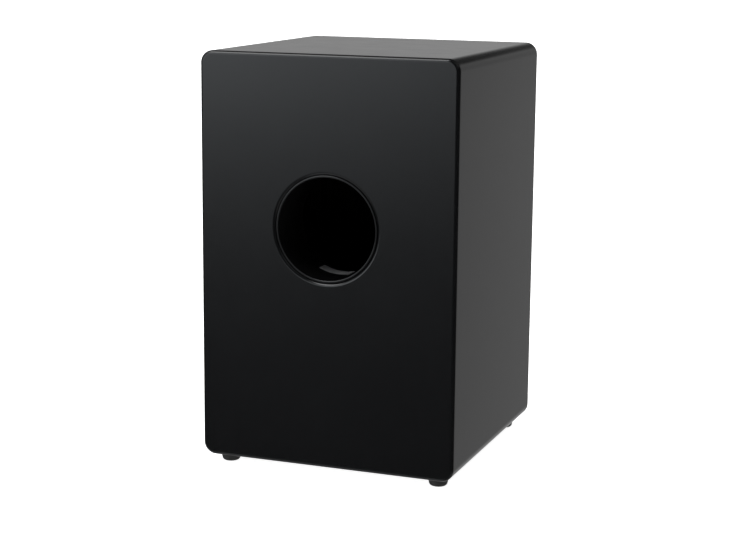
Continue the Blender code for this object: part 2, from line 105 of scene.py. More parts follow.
# Snare sets
STRANDS = 10
STRAND_SPACING = 0.0036
COIL_RADIUS = 0.0009
WIRE_RADIUS = 0.0002
COIL_PITCH = 0.0022
POINTS_PER_TURN = 8
STRIP_HEIGHT = 0.010
STRIP_THICKNESS = 0.0012
SHEET_METAL = 0.0012
RIVET_RADIUS = 0.0016
RIVET_HEIGHT = 0.6  # as a share of its radius
HANGER_BEND = 0.0022
HANGER_SCREW_SHIFT = 0.012
HANGER_SCREW_INSET = 0.0055

# Tensioner
BUSH_HOLE_RADIUS = 0.0064
SCREW_WAY_RADIUS = 0.0028  # of the holes that a tension screw passes through
M5 = 0.0025
M5_PITCH = 0.0008
HEX_ACROSS_FLATS = 0.004
HEX_DEPTH = 0.0028
M5_HEAD_HEIGHT = 0.005
M5_HEAD_CHAMFER = 0.0004
M5_NECK = 0.0060  # height of the plain neck's end above the head's underside
M5_THREAD_START = 0.0065
M5_TIP = (0.0009, 0.0008)  # how much narrower the tip is, and its length
INSERT_RADIUS = 0.0041
INSERT_HOLE_RADIUS = 0.0042
INSERT_INSET = 0.0002
POCKET_SHIFT = 0.0125
POCKET_HALF = (0.0048, 0.0052)  # across, up
POCKET_DEPTH = 0.0022
GUIDE_WALL = 0.0015
GUIDE_WAY_RADIUS = 0.0029
GUIDE_WINDOW_INSET = 0.010
GUIDE_SCREW_SHIFT = 0.014
BUSH_CUP_RADIUS = 0.00455
BUSH_SLEEVE_WALL = 0.0016
BUSH_FLOOR = 0.002
BUSH_FLANGE_THICKNESS = 0.0012
BUSH_ROUND = 0.0005
LONG_CUT = 0.1  # half height of a cutter that passes right through

# Camera
CAMERA_PLACE = (-0.7110, 1.8911, 0.6047)
CAMERA_AIM = (0.0078, 0.0000, 0.2078)
CAMERA_ROLL = 0.5  # degrees
CAMERA_LENS = 85.87
CAMERA_SENSOR = 36

# Studio light, as (degrees above the horizon, brightness) stops
FLOOR_GLOW = 0.97
PORT_SIDE_LIGHT = (
    (-90, 0.35),
    (-32, 0.30),
    (-22, 0.04),
    (-16, 0.02),
    (-11, 0.12),
    (-7, 0.50),
    (-3, 1.40),
    (0, 1.9),
    (30, 1.1),
    (90, 0.2),
)
PLATE_SIDE_LIGHT = (
    (-90, 0.35),
    (-30, 0.42),
    (-16, 0.32),
    (-6, 0.32),
    (0, 0.275),
    (12, 0.27),
    (16, 0.03),
    (90, 0.02),
)
FLANK_LIGHT = (
    (-90, 0.35),
    (-32, 0.30),
    (-22, 0.05),
    (-16, 0.015),
    (20, 0.015),
    (35, 0.25),
    (90, 0.10),
)

SMALLEST = 1e-6


# Materials


def material(name, colour, roughness, metallic=0.0):
    """A new material, its node tree's maker and its shader."""
    made = bpy.data.materials.new(name)
    made.use_nodes = True
    made.diffuse_color = (*colour, 1.0)
    shader = made.node_tree.nodes["Principled BSDF"]
    shader.inputs["Base Color"].default_value = (*colour, 1.0)
    shader.inputs["Roughness"].default_value = roughness
    shader.inputs["Metallic"].default_value = metallic
    return made, Wiring(made.node_tree), shader


class Wiring:
    """Adds nodes to one node tree and links them."""

    def __init__(self, tree):
        self.tree = tree

    def add(self, kind, **settings):
        node = self.tree.nodes.new(kind)
        for key, value in settings.items():
            setattr(node, key, value)
        return node

    def link(self, source, target):
        self.tree.links.new(source, target)

    def place(self, stretch=(1, 1, 1)):
        """Object coordinates, stretched along the axes."""
        coordinates = self.add("ShaderNodeTexCoord")
        mapping = self.add("ShaderNodeMapping")
        mapping.inputs["Scale"].default_value = stretch
        self.link(coordinates.outputs["Object"], mapping.inputs["Vector"])
        return mapping.outputs["Vector"]

    def noise(self, scale, detail=4.0, stretch=(1, 1, 1), roughness=0.5, distortion=0.0):
        node = self.add("ShaderNodeTexNoise")
        node.inputs["Scale"].default_value = scale
        node.inputs["Detail"].default_value = detail
        node.inputs["Roughness"].default_value = roughness
        node.inputs["Distortion"].default_value = distortion
        self.link(self.place(stretch), node.inputs["Vector"])
        return node.outputs["Fac"]

    def spread(self, value, low, high, start=0.3, end=0.7):
        """A value moved from the range start to end into the range low to high."""
        node = self.add("ShaderNodeMapRange")
        node.inputs["From Min"].default_value = start
        node.inputs["From Max"].default_value = end
        node.inputs["To Min"].default_value = low
        node.inputs["To Max"].default_value = high
        self.link(value, node.inputs["Value"])
        return node.outputs["Result"]

    def math(self, operation, first, second):
        node = self.add("ShaderNodeMath", operation=operation)
        for socket, value in zip(node.inputs, (first, second)):
            if isinstance(value, (int, float)):
                socket.default_value = value
            else:
                self.link(value, socket)
        return node.outputs["Value"]

    def vector_math(self, operation, first, second):
        node = self.add("ShaderNodeVectorMath", operation=operation)
        for socket, value in zip(node.inputs, (first, second)):
            if isinstance(value, tuple):
                socket.default_value = value
            elif value is not None:
                self.link(value, socket)
        return node.outputs["Vector"]

    def tint(self, factor, dark, light):
        """A colour between dark and light."""
        node = self.add("ShaderNodeMix", data_type="RGBA")
        node.inputs["A"].default_value = (*dark, 1.0)
        node.inputs["B"].default_value = (*light, 1.0)
        self.link(factor, node.inputs["Factor"])
        return node.outputs["Result"]

    def bump(self, height, strength, distance, under=None):
        node = self.add("ShaderNodeBump")
        node.inputs["Strength"].default_value = strength
        node.inputs["Distance"].default_value = distance
        self.link(height, node.inputs["Height"])
        if under:
            self.link(under, node.inputs["Normal"])
        return node.outputs["Normal"]


def satin_lacquer(name, colour, gloss, grain_strength):
    """Sprayed satin lacquer over sanded ply: faint upright grain, fine orange peel, soft smudges."""
    made, wire, shader = material(name, colour, gloss)
    cloud = wire.noise(9.0, 3.0)
    grain = wire.noise(260.0, 5.0, stretch=(1, 1, 0.035), roughness=0.6)
    peel = wire.noise(1100.0, 1.0)
    dark = tuple(0.85 * c for c in colour)
    light = tuple(1.18 * c for c in colour)
    mottle = wire.math("MULTIPLY", wire.math("ADD", cloud, grain), 0.5)
    wire.link(wire.tint(wire.spread(mottle, 0, 1), dark, light), shader.inputs["Base Color"])
    smudge = wire.noise(30.0, 4.0, distortion=0.6)
    sheen = wire.spread(smudge, gloss - 0.008, gloss + 0.012)
    wire.link(sheen, shader.inputs["Roughness"])
    under = wire.bump(grain, grain_strength, 0.0004)
    wire.link(wire.bump(peel, 0.008, 0.0002, under), shader.inputs["Normal"])
    shader.inputs["IOR"].default_value = 1.5
    return made


def near_black_ply(name):
    """Near-black raw ply inside the box: dull, with an open upright grain."""
    colour = (0.009, 0.0085, 0.008)
    made, wire, shader = material(name, colour, 0.85)
    grain = wire.noise(180.0, 6.0, stretch=(1, 1, 0.04), roughness=0.65)
    pores = wire.noise(900.0, 2.0, stretch=(1, 1, 0.08))
    wire.link(wire.tint(grain, (0.004, 0.004, 0.004), (0.016, 0.015, 0.013)), shader.inputs["Base Color"])
    under = wire.bump(grain, 0.3, 0.0005)
    wire.link(wire.bump(pores, 0.25, 0.0003, under), shader.inputs["Normal"])
    wire.link(wire.spread(grain, 0.75, 0.92), shader.inputs["Roughness"])
    shader.inputs["Specular IOR Level"].default_value = 0.3
    return made


def port_plastic():
    """Glossy black moulded plastic with slight flow lines and handling marks."""
    made, wire, shader = material("port_plastic", (0.008, 0.008, 0.009), 0.16)
    flow = wire.noise(45.0, 3.0, stretch=(1, 0.2, 1))
    marks = wire.noise(420.0, 2.0)
    wire.link(wire.spread(flow, 0.13, 0.21), shader.inputs["Roughness"])
    wire.link(wire.tint(flow, (0.002, 0.002, 0.0022), (0.004, 0.004, 0.0042)), shader.inputs["Base Color"])
    wire.link(wire.bump(marks, 0.02, 0.0002), shader.inputs["Normal"])
    return made


def painted_highlight_film():
    """Pale satin film that paints a highlight inside the port tube, with a faint ripple."""
    # Its pale colour is a painted highlight on the tube's glossy wall
    made, wire, shader = material("painted_highlight_film", (0.13, 0.13, 0.13), 0.35)
    ripple = wire.noise(160.0, 2.0, stretch=(1, 0.4, 1))
    wire.link(wire.tint(ripple, (0.21, 0.21, 0.21), (0.33, 0.33, 0.335)), shader.inputs["Base Color"])
    wire.link(wire.spread(ripple, 0.28, 0.42), shader.inputs["Roughness"])
    wire.link(wire.bump(ripple, 0.2, 0.0003), shader.inputs["Normal"])
    return made


def foot_rubber():
    """Moulded rubber, dusty grey-black, with a fine stipple."""
    made, wire, shader = material("foot_rubber", (0.016, 0.016, 0.016), 0.55)
    stipple = wire.noise(1500.0, 2.0)
    dust = wire.noise(120.0, 5.0, roughness=0.65)
    wire.link(wire.tint(dust, (0.010, 0.010, 0.010), (0.024, 0.024, 0.023)), shader.inputs["Base Color"])
    wire.link(wire.spread(dust, 0.42, 0.62), shader.inputs["Roughness"])
    wire.link(wire.bump(stipple, 0.15, 0.0002), shader.inputs["Normal"])
    return made


def plated_metal(name, dark, light, gloss, grain=(1, 1, 1)):
    """Plated or oxidised steel with a mottled coat and fine drawing marks."""
    made, wire, shader = material(name, light, gloss, 1.0)
    mottle = wire.noise(350.0, 5.0, stretch=grain, roughness=0.6)
    drawn = wire.noise(2400.0, 2.0, stretch=grain)
    wire.link(wire.tint(wire.spread(mottle, 0, 1), dark, light), shader.inputs["Base Color"])
    wire.link(wire.spread(mottle, gloss - 0.07, gloss + 0.12), shader.inputs["Roughness"])
    wire.link(wire.bump(drawn, 0.08, 0.0001), shader.inputs["Normal"])
    return made


def carriage_nylon():
    """Black glass-filled nylon with a fine moulded texture."""
    made, wire, shader = material("carriage_nylon", (0.03, 0.03, 0.03), 0.5)
    fibre = wire.noise(700.0, 4.0, stretch=(0.3, 1, 1))
    wire.link(wire.tint(fibre, (0.022, 0.022, 0.022), (0.042, 0.042, 0.041)), shader.inputs["Base Color"])
    wire.link(wire.spread(fibre, 0.4, 0.6), shader.inputs["Roughness"])
    wire.link(wire.bump(fibre, 0.12, 0.0002), shader.inputs["Normal"])
    return made


FINISHES = {
    "body_lacquer": satin_lacquer("body_lacquer", (0.0034, 0.0035, 0.0038), 0.15, 0.004),
    "plate_lacquer": satin_lacquer("plate_lacquer", (0.0044, 0.0045, 0.0047), 0.22, 0.04),
    "black_batten": near_black_ply("black_batten"),
    "port_plastic": port_plastic(),
    "painted_highlight_film": painted_highlight_film(),
    "foot_rubber": foot_rubber(),
    "black_screw": plated_metal("black_screw", (0.018, 0.018, 0.019), (0.045, 0.045, 0.048), 0.34),
    "zinc_steel": plated_metal("zinc_steel", (0.42, 0.43, 0.45), (0.62, 0.62, 0.62), 0.32),
    "snare_steel": plated_metal("snare_steel", (0.22, 0.22, 0.225), (0.34, 0.34, 0.35), 0.26),
    "carriage_nylon": carriage_nylon(),
}


# Making pieces


def keep(name, shape, finish, body="root", replaces=(), smooth=32):
    """Makes the bmesh a piece in place: outward normals, crisp edges, its finish and its body."""
    bmesh.ops.remove_doubles(shape, verts=shape.verts, dist=SMALLEST)
    bmesh.ops.recalc_face_normals(shape, faces=shape.faces)
    mesh = bpy.data.meshes.new(name)
    shape.to_mesh(mesh)
    shape.free()
    piece = bpy.data.objects.new(name, mesh)
    bpy.context.scene.collection.objects.link(piece)
    mesh.materials.append(FINISHES[finish])
    mesh.shade_smooth()
    mesh.set_sharp_from_angle(angle=math.radians(smooth))
    if body:
        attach(piece, body)
    if replaces:
        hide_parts(*replaces)
    return piece


def flat_faces_stay_flat(piece):
    """Weights the shading by area, so that a round edge doesn't bend the light on a broad face."""
    weighted = piece.modifiers.new("broad_faces", "WEIGHTED_NORMAL")
    weighted.mode = "FACE_AREA"
    weighted.weight = 90
    weighted.keep_sharp = True


def block(low, high):
    """A bmesh box between two corners."""
    shape = bmesh.new()
    low, high = Vector(low), Vector(high)
    size = Matrix.Diagonal((*(high - low), 1.0))
    bmesh.ops.create_cube(shape, size=1.0, matrix=Matrix.Translation((low + high) / 2) @ size)
    return shape


def round_edges(shape, edges, radius, steps):
    """Rounds these edges of the shape."""
    bmesh.ops.bevel(
        shape,
        geom=edges,
        offset=radius,
        offset_type="OFFSET",
        segments=steps,
        profile=0.5,
        affect="EDGES",
        material=-1,
        clamp_overlap=True,
    )


def along(edge, axis):
    """Whether the edge runs along this axis."""
    step = edge.verts[1].co - edge.verts[0].co
    return abs(step[axis]) > 0.999 * step.length


def softened_block(low, high, radius, steps=2):
    """A box with all its edges a little rounded."""
    shape = block(low, high)
    round_edges(shape, shape.edges[:], radius, steps)
    return shape


def turned(profile, steps, place=Matrix.Identity(4), sweep=360.0):
    """A closed outline of (radius, height) points turned round Z, then put in its place."""
    shape = bmesh.new()
    points = [shape.verts.new((r, 0, h)) for r, h in profile]
    edges = [shape.edges.new(pair) for pair in zip(points, points[1:])]
    if profile[0][0] > 0:
        edges.append(shape.edges.new((points[-1], points[0])))
    full = sweep == 360.0
    geom = points + edges
    if not full:
        geom.append(shape.faces.new(points))
    bmesh.ops.spin(
        shape,
        geom=geom,
        cent=(0, 0, 0),
        axis=(0, 0, 1),
        angle=math.radians(sweep),
        steps=steps,
        use_merge=full,
    )
    bmesh.ops.remove_doubles(shape, verts=shape.verts, dist=SMALLEST)
    bmesh.ops.transform(shape, matrix=place, verts=shape.verts)
    return shape


def arc(centre, radius, start, end, steps):
    """Points on a circle of (radius, height) between two angles, in degrees."""
    angles = [math.radians(start + (end - start) * i / steps) for i in range(steps + 1)]
    return [(centre[0] + radius * math.cos(a), centre[1] + radius * math.sin(a)) for a in angles]


def nodes_starting(words):
    """The nodes whose names start with these words, in order."""
    return sorted(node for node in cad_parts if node.startswith(words))


def facing_rear(x, y, z):
    """Turns a shape's height to point along +Y, and moves it to this place."""
    return Matrix.Translation((x, y, z)) @ Matrix.Rotation(-math.pi / 2, 4, "X")


def facing_front(x, y, z):
    """Turns a shape's height to point along -Y, and moves it to this place."""
    return Matrix.Translation((x, y, z)) @ Matrix.Rotation(math.pi / 2, 4, "X")


def merge(shape, *others):
    """Adds copies of the other shapes to the first, and frees them."""
    for other in others:
        mesh = bpy.data.meshes.new("part")
        other.to_mesh(mesh)
        other.free()
        shape.from_mesh(mesh)
        bpy.data.meshes.remove(mesh)
    return shape


def carve(shape, *cutters):
    """Takes the cutters out of the shape, and gives back what is left."""
    bodies = []
    for part in (shape, *cutters):
        bmesh.ops.recalc_face_normals(part, faces=part.faces)
        mesh = bpy.data.meshes.new("part")
        part.to_mesh(mesh)
        part.free()
        made = bpy.data.objects.new("part", mesh)
        bpy.context.scene.collection.objects.link(made)
        bodies.append(made)
    for cutter in bodies[1:]:
        cut = bodies[0].modifiers.new("cut", "BOOLEAN")
        cut.operation = "DIFFERENCE"
        cut.solver = "EXACT"
        cut.object = cutter
    graph = bpy.context.evaluated_depsgraph_get()
    result = bpy.data.meshes.new_from_object(bodies[0].evaluated_get(graph))
    left = bmesh.new()
    left.from_mesh(result)
    bpy.data.meshes.remove(result)
    for made in bodies:
        mesh = made.data
        bpy.data.objects.remove(made)
        bpy.data.meshes.remove(mesh)
    return left


def line_with(piece, finish, inside):
    """Gives a second finish to the faces whose middle and normal pass the test."""
    piece.data.materials.append(FINISHES[finish])
    for face in piece.data.polygons:
        if inside(face.center, face.normal):
            face.material_index = 1


# The box


def rounded_board(low, high, edge_radius, edge_side):
    """A full-size board with the box's corners, and a round edge on its outer face."""
    shape = block(low, high)
    long_edges = [e for e in shape.edges if along(e, 1)]
    round_edges(shape, long_edges, LONG_EDGE_RADIUS, CORNER_STEPS)
    face_y = high[1] if edge_side > 0 else low[1]
    rim = [e for e in shape.edges if all(abs(v.co.y - face_y) < SMALLEST for v in e.verts)]
    round_edges(shape, rim, edge_radius, EDGE_STEPS)
    return shape


def upright_hole(node, radius, bottom, top):
    """A round upright cutter in line with a node."""
    low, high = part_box(node)
    outline = [(0, bottom), (radius, bottom), (radius, top), (0, top)]
    return turned(outline, SCREW_STEPS, Matrix.Translation((*((low + high) / 2).xy, 0)))


def make_shell():
    """Top, bottom and both sides, lacquered over as one seamless box."""
    boards = ("left_side_panel", "right_side_panel", "top_panel", "bottom_panel")
    lows, highs = zip(*(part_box(board) for board in boards))
    low = Vector(min(corner[i] for corner in lows) for i in range(3))
    high = Vector(max(corner[i] for corner in highs) for i in range(3))
    high.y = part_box("rear_panel")[0].y
    shape = block(low, high)
    round_edges(shape, [e for e in shape.edges if along(e, 1)], LONG_EDGE_RADIUS, CORNER_STEPS)
    wall = Vector((WALL, -WALL, WALL))
    cutters = [block(low + wall, high - wall)]
    for side in ("left", "right"):
        cutters.append(upright_hole(f"{side}_bush", BUSH_HOLE_RADIUS, low.z - WALL, low.z + 2 * WALL))
    shell = keep("box_shell", carve(shape, *cutters), "body_lacquer", replaces=boards)
    flat_faces_stay_flat(shell)
    centre = (low + high) / 2
    reach = (high - low) / 2 - Vector((WALL, 0, WALL)) + Vector((SMALLEST, 0, SMALLEST))

    def inside(middle, normal):
        offset = middle - centre
        return abs(offset.x) < reach.x and abs(offset.z) < reach.z

    line_with(shell, "black_batten", inside)


def port_centre():
    """The middle of the port, on the rear panel's outer face."""
    low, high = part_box("port_tube")
    return Vector(((low.x + high.x) / 2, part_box("rear_panel")[1].y, (low.z + high.z) / 2))


def make_rear_panel():
    """The rear panel, with the round-over of its port hole."""
    low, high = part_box("rear_panel")
    hole = PORT_BORE + PORT_WALL + PORT_GAP
    depth = high.y - low.y
    mouth = arc((hole + PORT_HOLE_ROUND, -PORT_HOLE_ROUND), PORT_HOLE_ROUND, 180, 90, EDGE_STEPS)
    outer = hole + PORT_HOLE_ROUND
    cutter = [(0, -2 * depth), (hole, -2 * depth), *mouth, (outer, depth), (0, depth)]
    shape = carve(
        rounded_board(low, high, REAR_EDGE_RADIUS, 1),
        turned(cutter, PORT_STEPS, facing_rear(*port_centre())),
    )
    panel = keep("rear_panel_board", shape, "body_lacquer", replaces=("rear_panel",))
    flat_faces_stay_flat(panel)
    line_with(panel, "black_batten", lambda middle, normal: normal.y < -0.9)


def make_port_tube():
    """The moulded port tube: a rounded lip, a thin wall, a flange and a rounded inner end."""
    low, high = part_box("port_tube")
    centre = port_centre()
    inner_end = low.y - centre.y
    flange_radius = (high.x - low.x) / 2
    flange_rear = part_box("rear_panel")[0].y - PORT_GAP - centre.y
    flange_front = flange_rear - PORT_FLANGE_THICKNESS
    lip = PORT_WALL / 2
    soft = PORT_LIP_ROUND
    outer = PORT_BORE + PORT_WALL
    fillet = PORT_FILLET
    profile = [
        *arc((PORT_BORE + lip, inner_end + lip), lip, 270, 180, 4),
        *arc((PORT_BORE + soft, -PORT_LIP_RECESS - soft), soft, 180, 90, 5),
        *arc((outer - soft, -PORT_LIP_RECESS - soft), soft, 90, 0, 5),
        (outer, flange_rear),
        *arc((flange_radius - fillet, flange_rear - fillet), fillet, 90, 0, 4),
        *arc((flange_radius - fillet, flange_front + fillet), fillet, 0, -90, 4),
        *arc((outer + fillet, flange_front - fillet), fillet, 90, 180, 4),
        *arc((PORT_BORE + lip, inner_end + lip), lip, 0, -86, 4),
    ]
    shape = turned(profile, PORT_STEPS, facing_rear(*centre))
    keep("port_tube_moulding", shape, "port_plastic", replaces=("port_tube",))


def make_port_painted_highlight():
    """A pale film on the floor of the port tube, which paints the highlight that light leaves on the tube's
    glossy wall.
    """
    centre = port_centre()
    outer = PORT_BORE - PORT_GAP / 2
    near, far = (-d for d in PAINTED_HIGHLIGHT_DEPTHS)
    profile = [(outer - PAINTED_HIGHLIGHT_THICKNESS, far), (outer, far), (outer, near), (outer - PAINTED_HIGHLIGHT_THICKNESS, near)]
    start, end = PAINTED_HIGHLIGHT_ANGLES
    turn = Matrix.Rotation(math.radians(180 + start), 4, "Z")
    shape = turned(profile, 48, facing_rear(*centre) @ turn, sweep=end - start)
    keep("port_painted_highlight", shape, "painted_highlight_film")


def make_battens():
    """The rails and blocks glued inside the box."""
    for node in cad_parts:
        if node.endswith(("_rail", "_block")):
            low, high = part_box(node)
            shape = softened_block(low, high, BATTEN_EDGE)
            if node == "lower_front_rail":
                ends = (low.z - BATTEN_EDGE, high.z + BATTEN_EDGE)
                screws = ("left_tension_screw", "right_tension_screw")
                shape = carve(shape, *(upright_hole(screw, SCREW_WAY_RADIUS, *ends) for screw in screws))
            batten = keep(f"{node}_batten", shape, "black_batten", replaces=(node,))
            flat_faces_stay_flat(batten)


# Screws


def cross_recess(head_radius, depth):
    """A cross-shaped cutter that narrows downwards from height 0."""
    arm = CROSS_ARM * head_radius
    half = CROSS_WIDTH * head_radius / 2
    corner = ((arm, -half), (arm, half), (half, half))
    shape = bmesh.new()
    rings = []
    for height, scale in ((-depth, CROSS_TAPER), (0.0005, 1.0)):
        outline = []
        for turn in range(4):
            turned_by = Matrix.Rotation(turn * math.pi / 2, 2)
            outline += [turned_by @ Vector(point) * scale for point in corner]
        rings.append([shape.verts.new((*point, height)) for point in outline])
        shape.faces.new(rings[-1])
    lower, upper = rings
    for i in range(len(lower)):
        shape.faces.new((lower[i - 1], lower[i], upper[i], upper[i - 1]))
    return shape


def screw(profile, head_radius, recess_depth, place):
    """A turned screw whose head's top is at height 0, with a cross recess, put in its place."""
    made = carve(turned(profile, SCREW_STEPS), cross_recess(head_radius, recess_depth))
    bmesh.ops.transform(made, matrix=place, verts=made.verts)
    return made


def countersunk_profile(length, shank, head, height):
    """From the tip up the outside to the top of the head, at height 0."""
    rim = 0.0004
    return [
        (0, -length),
        (0.35 * shank, -length + shank),
        (shank, -length + 3 * shank),
        (shank, -height),
        (head, -rim),
        *arc((head - rim, -rim), rim, 0, 90, 3),
        (0, 0),
    ]


def pan_profile(length, shank, head, height):
    """From the tip up the outside to the top of a domed head, at height 0."""
    return [
        (0, -height - length),
        (0.35 * shank, -height - length + shank),
        (shank, -height - length + 3 * shank),
        (shank, -height),
        (head, -height),
        *[(head * math.cos(a), -height + height * math.sin(a)) for a in quarter(8)],
        (0, 0),
    ]


def quarter(steps):
    """Angles from just above zero to just below a right angle."""
    return [math.pi / 2 * i / steps for i in range(1, steps)]


def make_plate_screws():
    """The countersunk screws that hold the playing plate."""
    shank, head, height = COUNTERSUNK
    for node in nodes_starting("plate_screw"):
        low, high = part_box(node)
        x, z = (low.x + high.x) / 2, (low.z + high.z) / 2
        turn = Matrix.Rotation(PLATE_SCREW_TURN * int(node[-2:]), 4, "Z")
        profile = countersunk_profile(high.y - low.y, shank, head, height)
        shape = screw(profile, head, PLATE_SCREW_RECESS, facing_front(x, low.y, z) @ turn)
        keep(f"{node}_cross_head", shape, "black_screw", replaces=(node,))


def make_port_screws():
    """The pan-head screws through the port tube's flange, from inside the box."""
    shank, height, recess = PORT_SCREW
    for node in nodes_starting("port_screw"):
        low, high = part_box(node)
        x, z = (low.x + high.x) / 2, (low.z + high.z) / 2
        head = (high.x - low.x) / 2
        turn = Matrix.Rotation(PORT_SCREW_TURN * int(node[-1]), 4, "Z")
        profile = pan_profile(high.y - low.y - height, shank, head, height)
        shape = screw(profile, head, recess, facing_front(x, low.y, z) @ turn)
        keep(f"{node}_pan_head", shape, "black_screw", replaces=(node,))


def make_feet():
    """The four rubber feet, and the screw and washer sunk in each."""
    for node in sorted(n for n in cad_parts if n.endswith("_foot")):
        low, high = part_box(node)
        middle = (low + high) / 2
        top_radius = (high.x - low.x) / 2
        base = top_radius - FOOT_FLANK_LEAN
        bore = FOOT_BORE
        top = high.z + CLEARANCE
        lip = FOOT_LIP
        profile = [
            (bore, top - FOOT_CHAMFER),
            (bore, lip),
            *arc((bore + lip, lip), lip, 180, 270, 3)[1:],
            *arc((base - FOOT_ROUND, FOOT_ROUND), FOOT_ROUND, 270, 355, 12),
            (top_radius, top - FOOT_CHAMFER),
            (top_radius, top),
            (bore, top),
        ]
        place = Matrix.Translation((middle.x, middle.y, 0))
        keep(f"{node}_rubber", turned(profile, FOOT_STEPS, place), "foot_rubber", replaces=(node,))
        make_foot_screw(f"{node}_screw", middle.x, middle.y)


def make_foot_screw(node, x, y):
    """The pan-head screw in a foot's bore, and the washer under its head."""
    low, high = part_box(node)
    shank, height, recess = FOOT_SCREW
    head = (high.x - low.x) / 2
    bore, rim, thickness = WASHER
    washer = [(bore, 0), (rim, 0), (rim, thickness), (bore, thickness)]
    place = Matrix.Translation((x, y, low.z + height))
    keep(f"{node}_washer", turned(washer, SCREW_STEPS, place), "zinc_steel")
    down = Matrix.Translation((x, y, low.z)) @ Matrix.Rotation(math.pi, 4, "X")
    profile = pan_profile(high.z - low.z - height, shank, head, height)
    keep(f"{node}_pan_head", screw(profile, head, recess, down), "zinc_steel", replaces=(node,))


def make_front_plate():
    """The thin playing plate, countersunk for its screws."""
    low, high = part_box("front_plate")
    shank, head, height = COUNTERSUNK
    rim = head + CLEARANCE
    narrow = shank + CLEARANCE
    through = -2 * (high.y - low.y)
    cutters = bmesh.new()
    for node in nodes_starting("plate_screw"):
        a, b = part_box(node)
        place = facing_front((a.x + b.x) / 2, low.y, (a.z + b.z) / 2)
        profile = [
            (0, through),
            (narrow, through),
            (narrow, -HEAD_SINK - height),
            (rim, -HEAD_SINK),
            (rim, 0.001),
            (0, 0.001),
        ]
        merge(cutters, turned(profile, SCREW_STEPS, place))
    shape = carve(rounded_board(low, high, PLATE_EDGE_RADIUS, -1), cutters)
    plate = keep("playing_plate", shape, "plate_lacquer", replaces=("front_plate",))
    flat_faces_stay_flat(plate)
    line_with(plate, "black_batten", lambda middle, normal: normal.y > 0.9)


# Snare wires and their tensioners


def coils(x, y, bottom, top):
    """Ten coiled strands side by side, as one bmesh."""
    curve = bpy.data.curves.new("coils", "CURVE")
    curve.dimensions = "3D"
    curve.bevel_depth = WIRE_RADIUS
    curve.bevel_resolution = 0
    curve.use_fill_caps = True
    count = int((top - bottom) / COIL_PITCH * POINTS_PER_TURN)
    for strand in range(STRANDS):
        strand_x = x + (strand - (STRANDS - 1) / 2) * STRAND_SPACING
        spline = curve.splines.new("POLY")
        spline.points.add(count)
        for i, point in enumerate(spline.points):
            angle = 2 * math.pi * i / POINTS_PER_TURN + strand
            across = strand_x + COIL_RADIUS * math.cos(angle)
            deep = y + COIL_RADIUS * math.sin(angle)
            point.co = (across, deep, bottom + (top - bottom) * i / count, 1)
    made = bpy.data.objects.new("coils", curve)
    bpy.context.scene.collection.objects.link(made)
    graph = bpy.context.evaluated_depsgraph_get()
    mesh = bpy.data.meshes.new_from_object(made.evaluated_get(graph))
    shape = bmesh.new()
    shape.from_mesh(mesh)
    bpy.data.objects.remove(made)
    bpy.data.curves.remove(curve)
    bpy.data.meshes.remove(mesh)
    return shape


def rivet(x, y, z):
    """A domed rivet head standing on a face at y, towards +Y."""
    height = RIVET_HEIGHT * RIVET_RADIUS
    dome = [(RIVET_RADIUS * math.cos(a), height * math.sin(a)) for a in quarter(6)]
    profile = [(0, -0.0004), (RIVET_RADIUS, -0.0004), (RIVET_RADIUS, 0), *dome, (0, height)]
    return turned(profile, 20, facing_rear(x, y, z))


def make_snare_wires(side):
    """One set of coiled wires between its end strips."""
    node = f"{side}_snare_wires"
    low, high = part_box(node)
    x = (low.x + high.x) / 2
    strand_y = low.y + COIL_RADIUS + WIRE_RADIUS
    strip_front = high.y - STRIP_THICKNESS
    shape = coils(x, strand_y, low.z + 0.002, high.z - 0.002)
    for z in (low.z, high.z - STRIP_HEIGHT):
        corner = (low.x, strip_front, z)
        far_corner = (high.x, high.y, z + STRIP_HEIGHT)
        merge(shape, softened_block(corner, far_corner, 0.0003, 1))
    wires = keep(f"{side}_snare_coils", shape, "snare_steel", None, (node,))
    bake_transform(wires)


def make_upper_clip(side):
    """The bent steel angle that hangs a set of wires, and its two screws and rivets."""
    node = f"{side}_upper_clip"
    low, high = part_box(node)
    bend = HANGER_BEND
    shape = bmesh.new()
    outline = [
        (low.y, low.z),
        *arc((low.y + bend, high.z - bend), bend, 180, 90, 6),
        (high.y, high.z),
        (high.y, high.z - SHEET_METAL),
        *arc((low.y + bend, high.z - bend), bend - SHEET_METAL, 90, 180, 6),
        (low.y + SHEET_METAL, low.z),
    ]
    face = shape.faces.new([shape.verts.new((low.x, y, z)) for y, z in outline])
    grown = bmesh.ops.extrude_face_region(shape, geom=[face])
    moved = [v for v in grown["geom"] if isinstance(v, bmesh.types.BMVert)]
    bmesh.ops.translate(shape, verts=moved, vec=(high.x - low.x, 0, 0))
    keep(f"{side}_hanger_angle", shape, "zinc_steel", replaces=(node,))
    under = high.z - SHEET_METAL
    middle = (low.x + high.x) / 2
    shank, head, height, recess = HANGER_SCREW
    for number, shift in enumerate((-HANGER_SCREW_SHIFT, HANGER_SCREW_SHIFT), 1):
        place = Matrix.Translation((middle + shift, high.y - HANGER_SCREW_INSET, under - height))
        profile = pan_profile(SHORT_SCREW_LENGTH, shank, head, height)
        made = screw(profile, head, recess, place @ Matrix.Rotation(math.pi, 4, "X"))
        keep(f"{side}_hanger_screw_{number}", made, "zinc_steel")
        dome = rivet(middle + shift, low.y + SHEET_METAL, low.z + STRIP_HEIGHT / 2)
        keep(f"{side}_hanger_rivet_{number}", dome, "zinc_steel")


